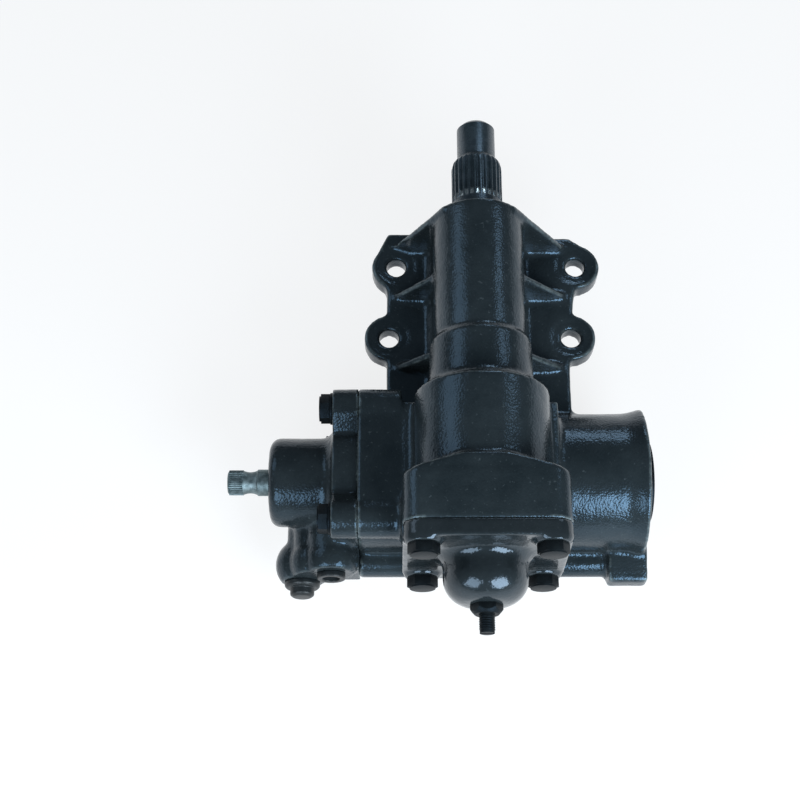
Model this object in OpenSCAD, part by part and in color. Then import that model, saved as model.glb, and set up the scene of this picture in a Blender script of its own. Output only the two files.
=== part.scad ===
// Integral power steering gearbox of the recirculating-ball kind.
// The mounting face lies on z = 0, under the sector shaft, which runs along y.
// The worm and the rack piston run along x, below and in front of the mounting plate.

/* [Layout] */
// Height of the sector shaft axis above the mounting face
sector_z = 52.5; // [50:0.5:56]
// Distance between the sector shaft axis and the worm axis
centre_distance = 58; // [57:0.25:59]
// Distance from the middle of the bolt pattern to the worm axis
worm_offset = 127; // [122:1:132]

/* [Gear mesh] */
// Module of the sector gear and the rack
gear_module = 5; // [4.8:0.1:5.2]
// Teeth that a full sector gear would have
full_teeth = 12; // [12:1:12]
// Teeth on the sector
sector_teeth = 5; // [5:1:5]
// Pressure angle of the rack
pressure_angle = 27.5; // [25:0.5:29]
// Addendum as a share of the module
addendum_factor = 0.8; // [0.7:0.05:0.85]
// Dedendum as a share of the module
dedendum_factor = 1; // [0.95:0.05:1.1]
// Play between the teeth on the pitch line
backlash = 0.3; // [0.2:0.05:0.6]
// Width of the sector teeth along the shaft
face_width = 34; // [28:1:35]
// Half of the steering travel of the sector shaft, in degrees
sector_travel = 42; // [36:1:42]

/* [Ball screw] */
// Turns of the worm for one turn of the sector
steering_ratio = 16; // [15.8:0.1:16.4]
// Diameter of the recirculating balls
ball_d = 7; // [6.8:0.1:7.1]
// Radius of the circle that the ball centres run on
ball_circle_r = 13.5; // [13.3:0.1:13.8]
// Balls in one turn of the screw
balls_per_turn = 11; // [9:1:11]
// Turns of the screw that carry load
loaded_turns = 2.5; // [1.5:1:2.5]
// Middle of the ball circuit, from the middle of the rack
circuit_x = -10; // [-12:1:-8]
// Gap between the balls and their grooves
ball_gap = 0.05; // [0.03:0.01:0.1]

/* [Housing casting] */
// Bore of the piston cylinder
bore_d = 76; // [75:0.5:77]
// Wall of the piston cylinder
cylinder_wall = 8.3; // [7:0.1:10]
// Open end of the cylinder, from the sector axis
cylinder_end = 109.8; // [108:0.2:114]
// Length of the flared rim of the cylinder
rim_l = 18; // [12:1:20]
// Rise of the flared rim over the cylinder
rim_rise = 2.9; // [2:0.1:3.5]
// Joint between the gear housing and the valve housing, from the sector axis
valve_joint = 81; // [80:0.5:82]
// Outer radius of the sector tube
tube_r = 30.5; // [29:0.5:32]
// Outer radius of the thicker root of the sector tube
tube_root_r = 33.5; // [33:0.5:36]
// Length of the thicker root, from the gear chamber
tube_root_l = 37; // [30:1:45]
// End of the sector tube, from the middle of the bolt pattern
tube_end = 43.5; // [41:0.5:46]
// Back of the gear chamber, from the middle of the bolt pattern
chamber_back = 88; // [86:0.5:92]
// Joint between the gear housing and the side cover, from the middle of the bolt pattern
cover_joint = 187; // [184:0.5:190]
// Half width of the gear chamber
chamber_half_w = 44; // [43:0.5:46]
// Half width of the lower shoulders of the gear chamber
shoulder_half_w = 50.5; // [49:0.5:51.5]
// Drop of the shoulders under the sector axis
shoulder_drop = 8.5; // [6:0.5:12]
// Length of the slanted shoulder behind the cover flange
shoulder_l = 12; // [9:0.5:14]
// Height of the gear chamber above the sector axis
chamber_top = 44; // [43:0.5:46]
// Corner radius of the gear chamber
chamber_corner = 43.5; // [40:0.5:43.5]
// Radius of the space that the sector swings in
chamber_r = 38; // [37:0.5:39]

/* [Mounting plate] */
// Thickness of the mounting plate
plate_t = 15; // [13:0.5:18]
// Spacing of the two holes in a row
hole_spacing = 126; // [124:0.5:130]
// Far edge of the mounting plate, from the middle of the bolt pattern
plate_far = 53.5; // [50:0.5:55]
// Spacing of the two rows of holes
row_spacing = 55; // [52:0.5:57]
// Middle of the far row of holes, along the worm axis
far_row_x = 7; // [6:0.5:8]
// Middle of the near row of holes, along the worm axis
near_row_x = 2; // [1:0.5:3]
// Diameter of the mounting holes
hole_d = 13.5; // [13:0.25:14]
// Radius of the ears around the holes
ear_r = 17; // [16:0.5:18]
// Diameter of the spot faces on the ears
spot_face_d = 29; // [27:0.5:30]
// Depth of the spot faces
spot_face_depth = 1.4; // [0.6:0.1:2]
// Thickness of the gusset webs
web_t = 4.5; // [4:0.5:7]
// Front face of the middle pair of webs, from the middle of the bolt pattern
middle_web_y = 1; // [-2:0.5:4]
// Front face of the near pair of webs, from the middle of the bolt pattern
near_web_y = -53.5; // [-56:0.5:-51]
// Reach of the web toes on the valve side
web_toe_left = 60; // [54:0.5:61]
// Reach of the web toes on the cylinder side
web_toe_right = 65; // [60:0.5:66]

/* [Side cover] */
// Half width of the cover and of its flange
cover_half_w = 52; // [51:0.5:53]
// Half height of the cover and of its flange
cover_half_h = 48; // [47:0.5:49]
// Corner radius of the cover
cover_corner = 13; // [11:0.5:15]
// Thickness of the cover plate
cover_t = 10.5; // [9:0.5:12]
// Height of the pads under the cover bolts
cover_pad_t = 2.5; // [1.5:0.5:4]
// Radius of the pads under the cover bolts
cover_pad_r = 11.2; // [10.8:0.1:11.4]
// Depth of the flange on the housing
cover_flange_t = 32; // [28:1:36]
// Half spacing of the cover bolts, across
cover_bolt_x = 39; // [38.5:0.25:39.5]
// Half spacing of the cover bolts, upright
cover_bolt_z = 36.5; // [36:0.25:37]
// Outer radius of the dome
dome_r = 27; // [26.5:0.25:29]
// Straight length of the dome
dome_straight = 13.5; // [10:0.5:15]
// Radius of the rounded edge of the dome
dome_edge_r = 17; // [15:0.5:17]

/* [Valve housing] */
// Outer radius of the valve boss
valve_boss_r = 30; // [29.5:0.5:32]
// Outer end of the valve boss, from the sector axis
valve_end = 141; // [140.5:0.5:143]
// Radius of the rounded edge of the valve boss
valve_edge_r = 7; // [5:0.5:8]
// Thickness of the valve flange
valve_flange_t = 17; // [16:0.5:17.5]
// Radius of the round middle of the valve flange
valve_flange_r = 44; // [43:0.5:46]
// Depth of the matching flange on the gear housing
gear_flange_t = 29; // [26:1:32]
// Radius from the worm axis to the valve housing bolts
valve_bolt_circle_r = 54.2; // [53.5:0.1:55]
// Radius of the boss around each valve housing bolt
valve_bolt_boss_r = 13; // [12:0.5:14]
// Radius of the bore that the valve sleeve turns in
valve_bore_r = 24; // [23.8:0.1:24.5]
// Face of the hose ports, from the worm axis
port_face = 61; // [58:0.5:64]

/* [Bolts] */
// Thread diameter of the housing bolts
bolt_d = 10; // [9.5:0.5:10]
// Width of the bolt heads across corners
bolt_head_d = 20; // [19:0.25:20]
// Height of the bolt heads
bolt_head_h = 7.2; // [6:0.1:9]
// Length of the bolt threads in the housing
bolt_grip = 20; // [16:1:24]
// Thickness of the bolt washers
washer_t = 1.6; // [1.2:0.1:2]

/* [Shafts] */
// Diameter of the sector shaft
sector_d = 35; // [34.6:0.1:35.2]
// Start of the sector spline, from the middle of the bolt pattern
spline_start = 54; // [50:0.5:56]
// Length of the sector spline
spline_l = 35.5; // [32:0.5:40]
// Teeth of the sector spline
spline_teeth = 26; // [24:1:36]
// Depth of the spline teeth
spline_depth = 1.8; // [1.2:0.1:2.2]
// Length of the rounded outer end of the spline
spline_taper = 8; // [5:0.5:9]
// Length of the run-out at the inner end of the spline
spline_runout = 6; // [4:0.5:8]
// Diameter of the threaded end
thread_d = 26.4; // [24:0.2:28]
// Length of the threaded end
thread_l = 27.5; // [24:0.5:34]
// Diameter of the input shaft
input_d = 18; // [17.8:0.1:18.1]
// Tip of the input shaft, from the sector axis
input_tip = 169.8; // [167:0.2:174]
// Diameter over the input serrations
serration_d = 17; // [16.5:0.1:17.4]
// Length of the input serrations
serration_l = 10.4; // [8:0.1:11]
// Teeth of the input serrations
serration_teeth = 36; // [30:1:40]
// Diameter of the clamp groove behind the serrations
neck_d = 14.4; // [13.5:0.1:15]
// Length of the clamp groove
neck_l = 9.2; // [8:0.1:10]
// Diameter of the adjuster screw
adjuster_d = 9.4; // [9:0.1:10]
// Tip of the adjuster screw beyond the dome
adjuster_reach = 17.7; // [15:0.1:22]
// Width of the lock nut across corners
lock_nut_d = 20.8; // [19:0.2:22]
// Height of the lock nut
lock_nut_h = 6; // [5:0.2:9]

/* [Fits] */
// Radial gap of a running fit
run_gap = 0.05; // [0.03:0.01:0.08]
// Radial gap of a seated piece
seat_gap = 0.02; // [0.01:0.01:0.04]
// Radial gap of the spigots in the ends of the cylinder bore
spigot_gap = 0.12; // [0.1:0.01:0.16]
// Length of the needle bearings of the sector shaft
needle_l = 28; // [26:0.5:28]
// Length of the stems of the port plugs
plug_stem_l = 13; // [10:0.5:14]
// Length of the piston
piston_l = 112; // [111:0.5:113]
// Wall of the bearing cups
cup_t = 0.9; // [0.8:0.1:1]

/* [Hidden] */
$fn = 64;

worm_y = -worm_offset;
worm_z = sector_z - centre_distance;
cast_black = [0.09, 0.1, 0.11];
steel = [0.62, 0.63, 0.64];
dark_steel = [0.32, 0.33, 0.34];
seal_black = [0.05, 0.05, 0.06];
seal_tan = [0.55, 0.42, 0.26];

bore_r = bore_d / 2;
cylinder_r = bore_r + cylinder_wall;
bolt_r = bolt_d / 2;
tapped_r = bolt_r + run_gap;
clear_r = bolt_r + 0.6;
valve_bolt_angles = [45, 135, 255, 315];
mount_holes = [
  [far_row_x - hole_spacing / 2, row_spacing / 2],
  [far_row_x + hole_spacing / 2, row_spacing / 2],
  [near_row_x - hole_spacing / 2, -row_spacing / 2],
  [near_row_x + hole_spacing / 2, -row_spacing / 2]
];

pitch_r = gear_module * full_teeth / 2;
base_r = pitch_r * cos(pressure_angle);
tip_r = pitch_r + addendum_factor * gear_module;
root_r = pitch_r - dedendum_factor * gear_module;
rack_pitch = PI * gear_module;
rack_line = centre_distance - pitch_r;
rack_tip = rack_line + addendum_factor * gear_module;
rack_root = rack_line - dedendum_factor * gear_module;
rack_half_l = (sector_teeth / 2 + 0.27) * rack_pitch;
piston_travel = pitch_r * sector_travel * PI / 180;
piston_r = bore_r - run_gap;
piston_left = -48;
piston_right = piston_left + piston_l;
nut_depth = piston_right - 8.5;
ring_groove_x = piston_right - 10;
ring_groove_w = 4;
ring_groove_r = piston_r - 5;
ring_split_r = piston_r - 2.9;

lead = 2 * PI * pitch_r / steering_ratio;
ball_r = ball_d / 2;
worm_core_r = ball_circle_r - ball_r - ball_gap;
nut_bore_r = ball_circle_r + ball_r + ball_gap;
circuit_start = circuit_x - loaded_turns * lead / 2;
circuit_end = circuit_x + loaded_turns * lead / 2;
worm_tip = nut_depth - piston_travel - 2.5;
guide_drop = ball_circle_r * 2;
guide_r = ball_r + 1;
guide_bore_r = ball_r + 0.2;
guide_len = sqrt(pow(circuit_end - circuit_start, 2) + pow(2 * ball_circle_r, 2));
guide_turn = atan2(-2 * ball_circle_r, circuit_end - circuit_start);
clamp_drop = guide_drop + guide_r + 0.1;
clamp_t = 2;

shaft_r = sector_d / 2;
needle_r = 1.5;
needle_circle_r = shaft_r + needle_r + run_gap;
cup_bore_r = needle_circle_r + needle_r + run_gap;
cup_r = cup_bore_r + cup_t;
cup_seat_r = cup_r + seat_gap;
seal_seat_r = cup_seat_r + 2;
stub_end = -(cover_joint + cover_t + 7.5);
dome_end = -(cover_joint + cover_t + dome_straight + dome_edge_r);
slot_neck_d = 4;
slot_head_d = 5.2;
adjuster_head_r = 8;
o_ring_face_r = 42.5;

input_r = input_d / 2;
input_needle_r = 1.25;
input_circle_r = input_r + input_needle_r + run_gap;
input_cup_bore_r = input_circle_r + input_needle_r + run_gap;
input_cup_r = input_cup_bore_r + cup_t;
input_seal_r = input_cup_r + 1.5;
valve_left = 21 - valve_end;
sleeve_r = valve_bore_r - 2 * run_gap;
rotor_r = 11.5;
bar_head_r = 4.4;
bar_r = 3;
bar_pin_r = 1.5;
race_x = -(valve_joint + 15.5);
race_w = 12.5;
race_in_r = 15;
race_out_r = 28;
race_ball_r = 3.5;
race_circle_r = (race_in_r + race_out_r) / 2;
head_r = 16;
spigot_l = 9;
spigot_r = bore_r - spigot_gap;
plug_in = 92;
plug_groove = 97;
snap_x = 104.5;
snap_w = 2.5;
snap_r = bore_r + 2;
plug_boss_r = 28;
plug_out = cylinder_end + 4.9;

gallery_y = worm_y - 49;
gallery_z = worm_z - 24.5;
gallery_r = 10;
gallery_bore_r = 4;
gallery_block_x = 86;
gallery_block_end = 112;
gallery_plug_r = 6;
pressure_port_x = -120;
pressure_port_z = worm_z - 30.5;
return_port_x = -99.5;
return_port_z = worm_z - 9.5;
port_bore_r = 7;
port_y = worm_y - port_face;

// Placement along the sector axis, with local z towards +y
module on_sector(y) {
  translate([0, y, sector_z]) rotate([-90, 0, 0]) children();
}

// Placement along the sector axis, with local z towards -y and local y upright
module on_sector_back(y) {
  translate([0, y, sector_z]) rotate([90, 0, 0]) children();
}

// Placement along the worm axis, with local z towards +x
module on_worm(x) {
  translate([x, worm_y, worm_z]) rotate([0, 90, 0]) children();
}

// Placement of an upright outline that is drawn in y and z and extruded along +x
module along_x(x) {
  translate([x, 0, 0]) rotate([90, 0, 90]) children();
}

// Placement of an upright outline that is drawn in x and z and extruded along -y
module along_back(y) {
  translate([0, y, 0]) rotate([90, 0, 0]) children();
}

module ring(r_out, r_in, h) {
  difference() {
    cylinder(r = r_out, h = h);
    translate([0, 0, -1]) cylinder(r = r_in, h = h + 2);
  }
}

module o_ring(r, section_r) {
  rotate_extrude() translate([r, 0]) circle(r = section_r, $fn = 32);
}

module round_set(r, count) {
  for (i = [0 : count - 1]) rotate(i * 360 / count) translate([r, 0, 0]) children();
}

module rounded_rect(half_w, half_h, r) {
  square([2 * half_w - 2 * r, 2 * half_h], center = true);
  square([2 * half_w, 2 * half_h - 2 * r], center = true);
  for (x = [-1, 1], y = [-1, 1]) translate([x * (half_w - r), y * (half_h - r)]) circle(r = r);
}

// Places its children at each valve housing bolt, around the worm axis
module at_valve_bolts(x) {
  for (a = valve_bolt_angles) {
    translate([x, worm_y + valve_bolt_circle_r * cos(a), worm_z + valve_bolt_circle_r * sin(a)])
      rotate([0, 90, 0]) children();
  }
}

module at_cover_bolts(y) {
  for (x = [-1, 1], z = [-1, 1]) {
    translate([x * cover_bolt_x, y, sector_z + z * cover_bolt_z]) rotate([90, 0, 0]) children();
  }
}

module valve_flange_outline() {
  circle(r = valve_flange_r);
  for (a = valve_bolt_angles) rotate(a) {
    translate([0, -valve_bolt_boss_r]) square([valve_bolt_circle_r, 2 * valve_bolt_boss_r]);
    translate([valve_bolt_circle_r, 0]) circle(r = valve_bolt_boss_r);
  }
}

// Solid of the valve flange outline, from x onwards, with its angles counted from y towards z
module valve_flange(x, t) {
  translate([x, worm_y, worm_z]) rotate([90, 0, 90]) linear_extrude(t) valve_flange_outline();
}

// Serrated round bar with pointed teeth
module splined_bar(r, depth, teeth, l) {
  linear_extrude(l) polygon([
    for (i = [0 : teeth - 1], s = [[-0.36, 0], [-0.12, 1], [0.12, 1], [0.36, 0]])
      (r - depth + depth * s[1]) * [cos((i + s[0]) * 360 / teeth), sin((i + s[0]) * 360 / teeth)]
  ]);
}

function involute_deg(a) = tan(a) * 180 / PI - a;
function tooth_half_angle(r) = (rack_pitch / 2 - backlash) / (2 * pitch_r) * 180 / PI
  + involute_deg(pressure_angle) - involute_deg(acos(base_r / max(r, base_r)));

// One sector tooth, pointing down
module sector_tooth() {
  steps = 8;
  flank = [for (i = [0 : steps]) base_r + (tip_r - base_r) * i / steps];
  right = [for (r = flank) r * [sin(tooth_half_angle(r)), -cos(tooth_half_angle(r))]];
  left = [for (i = [steps : -1 : 0]) [-right[i][0], right[i][1]]];
  foot = tooth_half_angle(base_r);
  inner = root_r - 1.3;
  polygon(concat([inner * [sin(foot), -cos(foot)]], right, left, [inner * [-sin(foot), -cos(foot)]]));
}

module sector_gear_outline() {
  pitch_deg = 360 / full_teeth;
  half_span = (sector_teeth - 1) / 2 * pitch_deg + 11;
  circle(r = shaft_r + 4.5);
  intersection() {
    circle(r = root_r);
    polygon([[0, 0], for (i = [-4 : 4]) 60 * [sin(half_span * i / 4), -cos(half_span * i / 4)]]);
  }
  for (i = [0 : sector_teeth - 1]) rotate((i - (sector_teeth - 1) / 2) * pitch_deg) sector_tooth();
}

// Helical ridge around the worm axis: section points give [offset along x, radius]
module helix_ridge(x0, turns, section) {
  steps = 18;
  count = len(section);
  last = turns * steps;
  points = [
    for (i = [0 : last], p = section)
      [x0 + lead * i / steps + p[0], p[1] * cos(360 * i / steps), p[1] * sin(360 * i / steps)]
  ];
  sides = [
    for (i = [0 : last - 1], j = [0 : count - 1])
      let (a = i * count + j, b = i * count + (j + 1) % count)
        each [[a, b, a + count], [b, b + count, a + count]]
  ];
  start_cap = [for (j = [1 : count - 2]) [0, j + 1, j]];
  end_cap = [for (j = [1 : count - 2]) [last * count, last * count + j, last * count + j + 1]];
  translate([0, worm_y, worm_z]) polyhedron(points = points, faces = concat(sides, start_cap, end_cap));
}

// Half width of the solid ridge between two turns of balls, at a radius from the worm axis
function ridge_half(r) = lead / 2 - 1.02 * sqrt(pow(ball_r, 2) - pow(ball_circle_r - r, 2)) - 0.1;

module plate_outline() {
  left = near_row_x - hole_spacing / 2;
  right = near_row_x + hole_spacing / 2;
  far_left = mount_holes[0][0];
  far_right = mount_holes[1][0];
  row = row_spacing / 2;
  polygon([
    [left - 1.5, -chamber_back - 4], [left - 1.5, row - 20], [far_left - 14, row + 9],
    [far_left - 6, plate_far], [far_left + 13, plate_far], [far_left + 24, tube_end - 3],
    [far_right - 30, tube_end - 3], [far_right - 18, plate_far - 3.3], [far_right - 4, plate_far - 3.3],
    [far_right + 6, row + 15.5], [right + 2.6, row - 28], [right - 2, -row - 28],
    [right - 2, -chamber_back - 4]
  ]);
  for (p = mount_holes) translate(p) circle(r = ear_r);
}

module gusset_web(y, half_top, top, toe_left, toe_right) {
  along_back(y) linear_extrude(web_t) polygon([
    [-half_top, top], [-toe_left, plate_t - 2], [toe_right, plate_t - 2], [half_top, top]
  ]);
}

module chamber_outline() {
  side = chamber_half_w - chamber_corner;
  top = chamber_top - chamber_corner;
  foot = -(cover_half_h - 4);
  translate([-chamber_half_w, foot]) square([2 * chamber_half_w, top - foot]);
  translate([-side, foot]) square([2 * side, chamber_top - foot]);
  translate([-shoulder_half_w, foot]) square([2 * shoulder_half_w, -shoulder_drop - foot]);
  for (x = [-side, side]) translate([x, top]) circle(r = chamber_corner);
}

// Plate with a relief along the cylinder, so that the frame rail meets the mounting face only
module mounting_plate() {
  relief_end = worm_y + cylinder_r + 3;
  difference() {
    linear_extrude(plate_t) plate_outline();
    translate([-hole_spacing, worm_y, -1]) cube([2 * hole_spacing, relief_end - worm_y, 2.5]);
  }
}

// Flared rim at the open end of the cylinder
module cylinder_rim() {
  flare_r = 40;
  on_worm(cylinder_end - rim_l) rotate_extrude() difference() {
    translate([bore_r + 1, 0]) square([cylinder_wall - 1 + rim_rise, rim_l]);
    translate([cylinder_r + flare_r - 0.3, 0]) circle(r = flare_r, $fn = 128);
  }
}

// Flange for the valve housing, filled between its upper bolt bosses
module gear_flange() {
  reach = valve_bolt_circle_r * cos(valve_bolt_angles[0]);
  valve_flange(-valve_joint, gear_flange_t);
  translate([-valve_joint, worm_y - reach, worm_z])
    cube([gear_flange_t, 2 * reach, reach + valve_bolt_boss_r - 3]);
}

// Slanted shoulder behind the flange for the side cover
module flange_shoulder() {
  rear = cover_flange_t - cover_joint;
  intersection() {
    on_sector_back(rear + shoulder_l) linear_extrude(shoulder_l + 1)
      rounded_rect(cover_half_w - 1, cover_half_h - 0.6, cover_corner);
    translate([0, 0, sector_z]) linear_extrude(cover_half_h) polygon([
      [-cover_half_w, rear - 2], [-cover_half_w, rear + 0.5], [-16, rear + shoulder_l - 1],
      [14, rear + shoulder_l - 1], [cover_half_w, rear + 0.5], [cover_half_w, rear - 2]
    ]);
  }
}

module housing_casting() {
  mounting_plate();
  translate([-tube_r, -chamber_back - 2, plate_t - 5])
    cube([2 * tube_r, chamber_back + tube_end, sector_z - plate_t + 5]);
  along_back(tube_end - 3) linear_extrude(chamber_back + tube_end - 1) polygon([
    [-tube_r - 6, plate_t - 1], [tube_r + 6, plate_t - 1],
    [tube_r - 1, plate_t + 7], [1 - tube_r, plate_t + 7]
  ]);
  on_sector(-chamber_back - 2) cylinder(r = tube_r, h = chamber_back + tube_end + 2);
  on_sector(-chamber_back - 2) cylinder(r1 = tube_root_r + 1.5, r2 = tube_root_r, h = tube_root_l + 2);
  on_sector(-chamber_back - 2) cylinder(r1 = tube_root_r + 8, r2 = tube_root_r, h = 9);
  on_sector_back(-chamber_back) linear_extrude(cover_joint - chamber_back - 1) chamber_outline();
  on_sector_back(cover_flange_t - cover_joint)
    linear_extrude(cover_flange_t) rounded_rect(cover_half_w, cover_half_h, cover_corner);
  flange_shoulder();
  on_worm(-valve_joint) cylinder(r = cylinder_r, h = valve_joint + cylinder_end - 1);
  cylinder_rim();
  gear_flange();
  gusset_web(tube_end - 0.4, 24, sector_z + 21, web_toe_left, web_toe_right);
  gusset_web(middle_web_y + web_t, tube_r - 1, sector_z - 4, web_toe_left, web_toe_right);
  gusset_web(near_web_y + web_t, tube_r - 1, sector_z - 11, web_toe_left, web_toe_right - 3);
  gallery_rib();
}

module gallery_rib() {
  rib_start = -valve_joint + 2;
  translate([-valve_joint, gallery_y, gallery_z]) rotate([0, 90, 0])
    cylinder(r = gallery_r, h = valve_joint + gallery_block_x + 4);
  along_x(rib_start) linear_extrude(gallery_block_x + 4 - rib_start) polygon([
    [gallery_y + 1, gallery_z - gallery_r], [gallery_y + 24, gallery_z - gallery_r - 4],
    [gallery_y + 24, gallery_z + gallery_r + 4], [gallery_y + 1, gallery_z + gallery_r]
  ]);
  along_x(gallery_block_x) linear_extrude(gallery_block_end - gallery_block_x) polygon([
    [gallery_y - 17, gallery_z + 13], [gallery_y - 17, gallery_z], [gallery_y - 6, gallery_z - 15],
    [gallery_y + 26, gallery_z - 18], [gallery_y + 26, gallery_z + 24], [gallery_y - 5, gallery_z + 17]
  ]);
}

module gear_housing() {
  color(cast_black) difference() {
    housing_casting();
    on_worm(-valve_joint - 1) cylinder(r = bore_r, h = valve_joint + gallery_block_end + 2);
    on_worm(snap_x) cylinder(r = snap_r + 0.1, h = snap_w + 0.2);
    on_sector_back(worm_y + face_width / 2 + 6) cylinder(r = chamber_r, h = cover_joint);
    on_sector(-chamber_back - 20) cylinder(r = cup_seat_r, h = chamber_back + tube_end + 22);
    on_sector(tube_end - 11) cylinder(r = seal_seat_r, h = 12);
    for (p = mount_holes) translate(p) {
      translate([0, 0, -1]) cylinder(d = hole_d, h = plate_t + 2);
      translate([0, 0, plate_t - spot_face_depth]) cylinder(d = spot_face_d, h = 24);
    }
    at_cover_bolts(bolt_grip + 4 - cover_joint) cylinder(r = tapped_r, h = bolt_grip + 5);
    at_valve_bolts(-valve_joint - 1) cylinder(r = tapped_r, h = bolt_grip + 5);
    translate([-valve_joint - 1, gallery_y, gallery_z]) rotate([0, 90, 0])
      cylinder(r = gallery_bore_r, h = valve_joint + gallery_block_end - 8);
    translate([gallery_block_end - 10, gallery_y, gallery_z]) rotate([0, 90, 0])
      cylinder(r = gallery_plug_r + seat_gap, h = 11);
    translate([plug_in - 3, gallery_y, gallery_z + 3]) rotate([-90, 0, 0]) cylinder(r = 2.5, h = 26);
  }
}

// Ball-shaped lobe with a flat face, along local z from the face
module ball_lobe(r, depth) {
  rotate_extrude() intersection() {
    translate([0, depth]) circle(r = r);
    square([r + 1, depth + r + 1]);
  }
}

// Lobe around each hose port, on a neck from the valve boss
module port_lobe() {
  middle_x = (pressure_port_x + return_port_x) / 2;
  middle_z = (pressure_port_z + return_port_z) / 2 + 2;
  translate([pressure_port_x, port_y, pressure_port_z]) rotate([-90, 0, 0]) ball_lobe(18.5, 12);
  translate([pressure_port_x + 3, port_y + 12, pressure_port_z + 5]) rotate([-90, 0, 0])
    cylinder(r = 13.5, h = port_face - 16);
  translate([return_port_x, port_y, return_port_z]) rotate([-90, 0, 0]) ball_lobe(18, 9);
  translate([middle_x, port_y, middle_z]) rotate([-90, 0, 0]) ball_lobe(18.2, 10);
  translate([middle_x, port_y + 10, middle_z]) rotate([-90, 0, 0]) cylinder(r = 16, h = port_face - 15);
  translate([return_port_x, port_y + 9, return_port_z]) rotate([-90, 0, 0])
    cylinder(r = 17, h = port_face - 13);
  along_back(worm_y - 4) linear_extrude(port_face - 8) polygon([
    [pressure_port_x, pressure_port_z + 11], [pressure_port_x, pressure_port_z - 9],
    [-valve_joint, pressure_port_z - 9], [-valve_joint, return_port_z],
    [return_port_x - 10, return_port_z + 10]
  ]);
}

module valve_casting() {
  boss_l = valve_end - valve_joint;
  on_worm(-valve_end) rotate_extrude() {
    translate([0, valve_edge_r]) square([valve_boss_r, boss_l - valve_edge_r - 2]);
    square([valve_boss_r - valve_edge_r, boss_l - 2]);
    translate([valve_boss_r - valve_edge_r, valve_edge_r]) circle(r = valve_edge_r);
  }
  on_worm(-valve_joint - valve_flange_t - 6)
    cylinder(r1 = valve_boss_r - 0.5, r2 = valve_boss_r + 6, h = 7);
  valve_flange(-valve_joint - valve_flange_t, valve_flange_t);
  on_worm(-valve_joint - 1) cylinder(r = spigot_r, h = spigot_l + 1);
  port_lobe();
}

module valve_housing() {
  color(cast_black) difference() {
    valve_casting();
    on_worm(valve_left) cylinder(r = valve_bore_r, h = 60);
    on_worm(race_x - 0.1) cylinder(r = race_out_r, h = 60);
    on_worm(-valve_end - 1) cylinder(r = input_seal_r, h = 10.5);
    on_worm(-valve_end + 5) cylinder(r = input_cup_r + seat_gap, h = valve_end + valve_left);
    on_worm(-valve_joint + 3) difference() {
      cylinder(r = bore_r + 1, h = 3);
      cylinder(r = bore_r - 2.6, h = 3);
    }
    at_valve_bolts(-valve_joint - valve_flange_t - 1) cylinder(r = clear_r, h = valve_flange_t + 2);
    at_valve_bolts(-valve_end - 2) cylinder(r = 12, h = valve_end + 2 - valve_joint - valve_flange_t);
    translate([pressure_port_x, port_y - 1, pressure_port_z]) rotate([-90, 0, 0])
      cylinder(r = port_bore_r, h = 21);
    translate([pressure_port_x, port_y, pressure_port_z]) rotate([-90, 0, 0])
      cylinder(r = 4, h = port_face - 9);
    translate([pressure_port_x + 4, worm_y - 10, pressure_port_z]) cylinder(r = 3, h = 20);
    translate([return_port_x, port_y - 1, return_port_z]) rotate([-90, 0, 0])
      cylinder(r = port_bore_r, h = 17);
    translate([return_port_x - 2, port_y, return_port_z]) rotate([-90, 0, 0])
      cylinder(r = 4, h = port_face - 18);
    translate([-valve_joint - 23, gallery_y, gallery_z]) rotate([0, 90, 0])
      cylinder(r = gallery_bore_r, h = 25);
    translate([-valve_joint - 22, gallery_y, gallery_z + 3.5]) rotate([-90, 0, 0])
      cylinder(r = 3, h = 40);
  }
}

module side_cover() {
  color(cast_black) difference() {
    union() {
      on_sector_back(-cover_joint)
        linear_extrude(cover_t) rounded_rect(cover_half_w, cover_half_h, cover_corner);
      on_sector_back(-cover_joint - cover_t + 1) rotate_extrude() intersection() {
        square([dome_r + 1, dome_straight + dome_edge_r + 2]);
        union() {
          square([dome_r, dome_straight + 1]);
          square([dome_r - dome_edge_r, dome_straight + dome_edge_r + 1]);
          translate([dome_r - dome_edge_r, dome_straight + 1]) circle(r = dome_edge_r);
        }
      }
      on_sector_back(-cover_joint + 21) cylinder(r = cup_seat_r + 6, h = 22);
      at_cover_bolts(-cover_joint - cover_t + 0.5) cylinder(r = cover_pad_r, h = cover_pad_t + 0.5);
    }
    on_sector_back(-cover_joint + 22) cylinder(r = cup_seat_r, h = 22 - cover_joint - stub_end + 2);
    on_sector_back(stub_end) cylinder(r = adjuster_d / 2 + seat_gap, h = 40);
    at_cover_bolts(-cover_joint + 1) cylinder(r = clear_r, h = cover_t + cover_pad_t + 2);
    on_sector_back(-cover_joint + 1) ring(o_ring_face_r + 1.5, o_ring_face_r - 1.5, 3.5);
  }
}

module side_cover_o_ring() {
  color(seal_black) on_sector_back(-cover_joint - 1.25) o_ring(o_ring_face_r, 1.2);
}

module hex_bolt(l) {
  translate([0, 0, -l]) cylinder(r = bolt_r, h = l + 0.5);
  cylinder(d = bolt_head_d, h = bolt_head_h - 1, $fn = 6);
  translate([0, 0, bolt_head_h - 1]) cylinder(d = bolt_head_d * 0.84, h = 1);
}

module side_cover_bolts() {
  color(dark_steel) at_cover_bolts(-cover_joint - cover_t - cover_pad_t)
    hex_bolt(cover_t + cover_pad_t + bolt_grip);
}

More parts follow.
